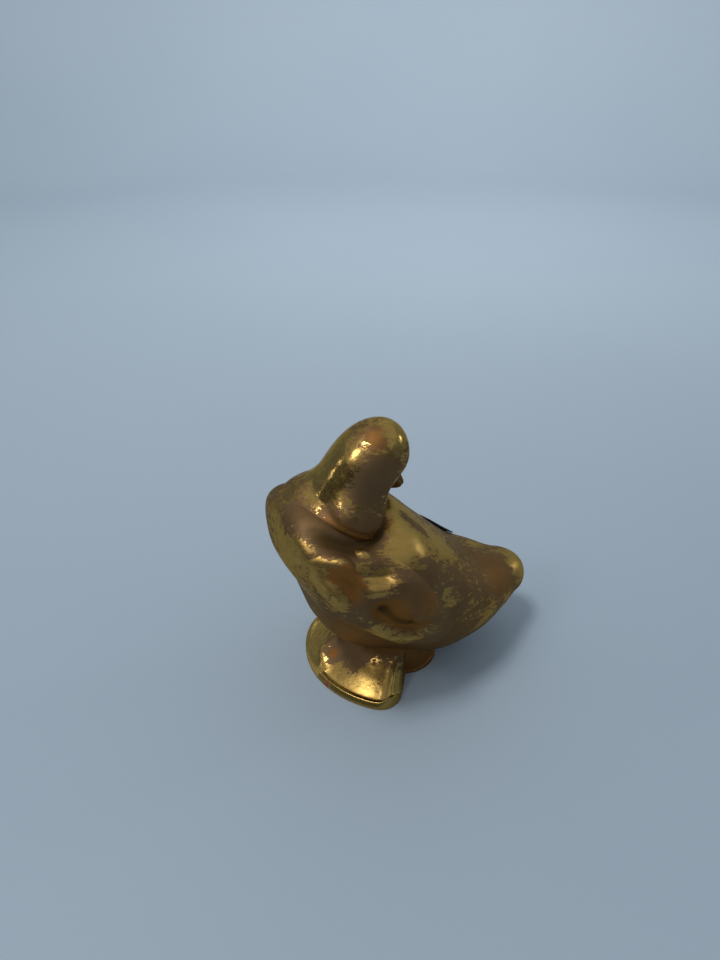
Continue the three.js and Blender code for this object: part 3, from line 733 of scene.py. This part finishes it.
share, around = np.meshgrid(np.linspace(0, 1, board_rings + 1)[1:],
                            np.arange(board_sides) / board_sides * 2 * math.pi, indexing="ij")
far, high = tent_profile(share)
board_points = np.concatenate([np.zeros((1, 3)), np.stack(
    [far * np.cos(around), far * np.sin(around), high], -1).reshape(-1, 3)])
ring = 1 + np.arange(share.size).reshape(share.shape)
beside = np.roll(ring, -1, 1)
board_faces = np.stack([ring[:-1], ring[1:], beside[1:], beside[:-1]], -1).reshape(-1, 4).tolist()
board_faces += np.stack([np.zeros(board_sides, int), ring[0], beside[0]], -1).tolist()
board_mesh = bpy.data.meshes.new("board")
board_mesh.from_pydata(board_points.tolist(), [], board_faces)
board_mesh.shade_smooth()
dim = soft_step(np.cos(around - dim_side), 0.0, 0.6) * soft_step(high, 0.02, 0.18)
board_mesh.attributes.new("dim", "FLOAT", "POINT").data.foreach_set("value", np.append(0, dim).astype(np.float32))
board = bpy.data.objects.new("board", board_mesh)
bpy.context.collection.objects.link(board)
board_finish, start = new_finish("pale board")
where = start.node("ShaderNodeTexCoord", {}, {}, "Object")
cloud = start.node("ShaderNodeTexNoise", {}, {"Vector": where, "Scale": 5, "Detail": 3}, "Fac")
dim = start.node("ShaderNodeAttribute", {"attribute_name": "dim"}, {}, "Fac")
colour = start.node("ShaderNodeMix", {"data_type": "RGBA"}, {0: cloud, 6: board_pale, 7: board_cool}, 2)
colour = start.node("ShaderNodeMix", {"data_type": "RGBA"}, {0: dim, 6: colour, 7: board_dim}, 2)
shade = start.node("ShaderNodeBsdfPrincipled", {}, {
    "Base Color": colour, "Roughness": 0.55, "Specular IOR Level": 0.3})
start.node("ShaderNodeOutputMaterial", {}, {"Surface": shade})
board_mesh.materials.append(board_finish)


# The light
# A soft lamp overhead, two smaller ones on the left and a dim pane on the right.
# A wash lights the far wall, and a cool room fills the shade.
def soft_lamp(name, place, target, width, depth, power):
    """A flat lamp at a place, turned to face a target."""
    lamp = bpy.data.lights.new(name, "AREA")
    lamp.shape = "RECTANGLE"
    lamp.size, lamp.size_y, lamp.energy = width, depth, power
    holder = bpy.data.objects.new(name, lamp)
    back = unit(np.array(place, float) - target)
    holder.location = place
    holder.rotation_euler = (0, math.acos(back[2]), math.atan2(back[1], back[0]))
    bpy.context.collection.objects.link(holder)


duck_middle, far_wall = (0, 0, 0.04), (0.55, 1.15, 0.30)
room_cool, room_strength = (0.88, 0.95, 1.0, 1), 0.50
soft_lamp("lamp_over", (-0.35, -0.03, 0.98), duck_middle, 0.22, 0.22, 3.4)
soft_lamp("lamp_left", (-0.68, -0.08, 0.77), duck_middle, 0.16, 0.16, 0.8)
soft_lamp("pane", (0.80, -0.04, 0.33), duck_middle, 0.12, 0.12, 0.30)
soft_lamp("lamp_low", (-0.62, 0.23, 0.37), duck_middle, 0.05, 0.05, 0.06)
soft_lamp("wall_wash", (0.30, 0.45, 0.80), far_wall, 0.9, 0.3, 4.0)
room = bpy.data.worlds.new("room")
room.use_nodes = True
room.node_tree.nodes["Background"].inputs["Color"].default_value = room_cool
room.node_tree.nodes["Background"].inputs["Strength"].default_value = room_strength
bpy.context.scene.world = room


# The camera
# A phone's wide lens held a quarter of a metre away, looking down on the duck's left side and breast.
focal_pixels, frame_width, frame_height = 721, 720, 960
aim_point, aim_pixel, aim_distance = np.array([-0.011175, 0, 0]), (376, 657), 0.244
bearing, pitch = math.radians(-25), math.radians(33)
away = np.array([-math.sin(bearing) * math.cos(pitch), math.cos(bearing) * math.cos(pitch), -math.sin(pitch)])
right = np.array([math.cos(bearing), math.sin(bearing), 0])
sight = (away * focal_pixels + right * (aim_pixel[0] - frame_width / 2)
         + np.cross(away, right) * (aim_pixel[1] - frame_height / 2))
lens = bpy.data.cameras.new("camera")
lens.sensor_width = 36
lens.lens = focal_pixels * lens.sensor_width / frame_height
lens.clip_start = 0.01
camera = bpy.data.objects.new("camera", lens)
camera.location = aim_point - unit(sight) * aim_distance
camera.rotation_euler = (math.pi / 2 - pitch, 0, bearing)
bpy.context.collection.objects.link(camera)
bpy.context.scene.camera = camera
bpy.context.scene.view_settings.view_transform = "Standard"
